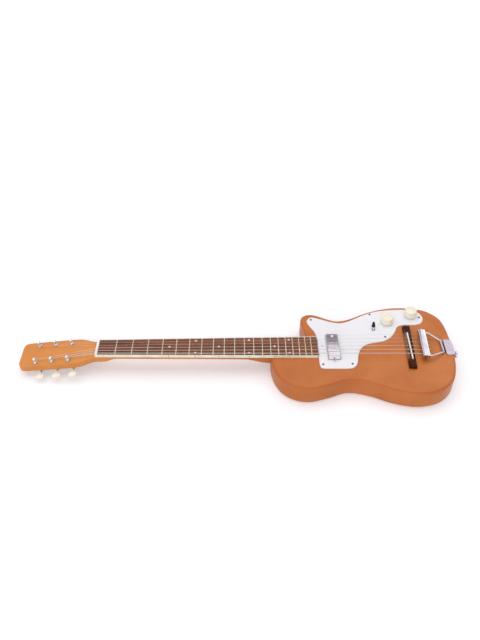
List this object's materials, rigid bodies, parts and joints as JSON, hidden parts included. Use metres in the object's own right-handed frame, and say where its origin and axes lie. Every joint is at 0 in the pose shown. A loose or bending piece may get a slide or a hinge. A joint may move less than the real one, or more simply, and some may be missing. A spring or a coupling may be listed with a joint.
{
  "type": "electric guitar",
  "caption": "Single-cutaway solid-body electric guitar with a copper finish, white pickguard, chrome pickup, wooden bridge, trapeze tailpiece and open-gear tuners that turn.",
  "frame": {"origin": "middle of the guitar's footprint, on the plane of its flat back", "axes": "+X along the strings from the nut to the tail, +Y to the treble side, +Z out of the face"},
  "size_m": [0.8758, 0.238, 0.062],
  "materials": {
    "copper_lacquer": "metallic copper lacquer on wood, glossy",
    "rosewood": "oiled open grain",
    "aged_binding": "aged ivory celluloid",
    "nickel_silver": "polished fret wire",
    "pearl": "pearl inlay",
    "black_plastic": "moulded, glossy",
    "bone": "polished bone",
    "white_plastic": "white sheet plastic, satin gloss",
    "dark_steel": "tarnished screws",
    "chrome": "polished plating",
    "bobbin": "wound coil on a plastic bobbin",
    "magnet": "ground bar magnet",
    "plated_steel": "nickel plated",
    "plain_wire": "drawn steel wire",
    "wound_wire": "nickel wound wire",
    "control_steel": "plated steel cans",
    "rod_steel": "plain bar steel",
    "capacitor_wax": "waxed paper tube",
    "wire_cloth": "cloth-covered wire",
    "cream_plastic": "moulded cream plastic"
  },
  "bodies": {
    "root": {"body": "copper_lacquer", "neck": "copper_lacquer", "fretboard": "rosewood", "bridge_base": "rosewood", "fretboard_binding": "aged_binding", "frets": "nickel_silver", "position_dots": "pearl", "side_dots": "black_plastic", "nut": "bone", "bridge_saddle": "bone", "pickguard": "white_plastic", "pickguard_screws": "dark_steel", "pickup_cover": "chrome", "tailpiece_bar": "chrome", "tailpiece_frame": "chrome", "tailpiece_hinge": "chrome", "end_pin": "chrome", "pickup_coil": "bobbin", "pickup_magnet": "magnet", "pickup_screws": "plated_steel", "tailpiece_screws": "plated_steel", "tuner_plate_treble": "plated_steel", "tuner_plate_bass": "plated_steel", "tuner_plate_screws": "plated_steel", "post_bushings": "plated_steel", "control_nuts": "plated_steel", "jack_nut": "plated_steel", "string_1": "plain_wire", "string_2": "plain_wire", "string_3": "plain_wire", "string_4": "wound_wire", "string_5": "wound_wire", "string_6": "wound_wire", "potentiometers": "control_steel", "tone_switch": "control_steel", "output_jack": "control_steel", "neck_rod": "rod_steel", "tone_capacitor": "capacitor_wax", "wiring": "wire_cloth"},
    "tuner_key_1": {"tuner_worm_1": "plated_steel", "tuner_button_1": "cream_plastic"},
    "string_post_1": {"tuner_post_1": "plated_steel"},
    "tuner_key_2": {"tuner_worm_2": "plated_steel", "tuner_button_2": "cream_plastic"},
    "string_post_2": {"tuner_post_2": "plated_steel"},
    "tuner_key_3": {"tuner_worm_3": "plated_steel", "tuner_button_3": "cream_plastic"},
    "string_post_3": {"tuner_post_3": "plated_steel"},
    "tuner_key_4": {"tuner_worm_4": "plated_steel", "tuner_button_4": "cream_plastic"},
    "string_post_4": {"tuner_post_4": "plated_steel"},
    "tuner_key_5": {"tuner_worm_5": "plated_steel", "tuner_button_5": "cream_plastic"},
    "string_post_5": {"tuner_post_5": "plated_steel"},
    "tuner_key_6": {"tuner_worm_6": "plated_steel", "tuner_button_6": "cream_plastic"},
    "string_post_6": {"tuner_post_6": "plated_steel"},
    "volume": {"volume_knob": "cream_plastic"},
    "tone": {"tone_knob": "cream_plastic"},
    "toggle": {"switch_lever": "black_plastic"}
  },
  "joints": [
    {"name": "tuner_key_1_turn", "type": "hinge", "parent": "root", "child": "tuner_key_1", "pos_m": [-0.32854, 0.0225, 0.01834], "axis": [0, 1, 0], "continuous": true},
    {"name": "string_post_1_turn", "type": "hinge", "parent": "root", "child": "string_post_1", "pos_m": [-0.33798, 0.0225, 0.03635], "axis": [-0.1045, 0, 0.9945], "continuous": true},
    {"name": "tuner_key_2_turn", "type": "hinge", "parent": "root", "child": "tuner_key_2", "pos_m": [-0.36136, 0.0225, 0.01489], "axis": [0, 1, 0], "continuous": true},
    {"name": "string_post_2_turn", "type": "hinge", "parent": "root", "child": "string_post_2", "pos_m": [-0.3708, 0.0225, 0.03291], "axis": [-0.1045, 0, 0.9945], "continuous": true},
    {"name": "tuner_key_3_turn", "type": "hinge", "parent": "root", "child": "tuner_key_3", "pos_m": [-0.39418, 0.0225, 0.01144], "axis": [0, 1, 0], "continuous": true},
    {"name": "string_post_3_turn", "type": "hinge", "parent": "root", "child": "string_post_3", "pos_m": [-0.40362, 0.0225, 0.02946], "axis": [-0.1045, 0, 0.9945], "continuous": true},
    {"name": "tuner_key_4_turn", "type": "hinge", "parent": "root", "child": "tuner_key_4", "pos_m": [-0.39418, -0.0225, 0.01144], "axis": [0, 1, 0], "continuous": true},
    {"name": "string_post_4_turn", "type": "hinge", "parent": "root", "child": "string_post_4", "pos_m": [-0.40362, -0.0225, 0.02946], "axis": [-0.1045, 0, 0.9945], "continuous": true},
    {"name": "tuner_key_5_turn", "type": "hinge", "parent": "root", "child": "tuner_key_5", "pos_m": [-0.36136, -0.0225, 0.01489], "axis": [0, 1, 0], "continuous": true},
    {"name": "string_post_5_turn", "type": "hinge", "parent": "root", "child": "string_post_5", "pos_m": [-0.3708, -0.0225, 0.03291], "axis": [-0.1045, 0, 0.9945], "continuous": true},
    {"name": "tuner_key_6_turn", "type": "hinge", "parent": "root", "child": "tuner_key_6", "pos_m": [-0.32854, -0.0225, 0.01834], "axis": [0, 1, 0], "continuous": true},
    {"name": "string_post_6_turn", "type": "hinge", "parent": "root", "child": "string_post_6", "pos_m": [-0.33798, -0.0225, 0.03635], "axis": [-0.1045, 0, 0.9945], "continuous": true},
    {"name": "volume_turn", "type": "hinge", "parent": "root", "child": "volume", "pos_m": [0.35673, 0.0902, 0.0445], "axis": [0, 0, 1], "range_deg": [-270, 30]},
    {"name": "tone_turn", "type": "hinge", "parent": "root", "child": "tone", "pos_m": [0.30473, 0.0705, 0.0445], "axis": [0, 0, 1], "range_deg": [-270, 30]},
    {"name": "toggle_throw", "type": "hinge", "parent": "root", "child": "toggle", "pos_m": [0.27372, 0.048, 0.045], "axis": [1, 0, 0], "range_deg": [0, 52]}
  ],
  "couplings": [
    {"joint": "string_post_1_turn", "follows": "tuner_key_1_turn", "ratio": -0.071429},
    {"joint": "string_post_2_turn", "follows": "tuner_key_2_turn", "ratio": -0.071429},
    {"joint": "string_post_3_turn", "follows": "tuner_key_3_turn", "ratio": -0.071429},
    {"joint": "string_post_4_turn", "follows": "tuner_key_4_turn", "ratio": 0.071429},
    {"joint": "string_post_5_turn", "follows": "tuner_key_5_turn", "ratio": 0.071429},
    {"joint": "string_post_6_turn", "follows": "tuner_key_6_turn", "ratio": 0.071429}
  ]
}
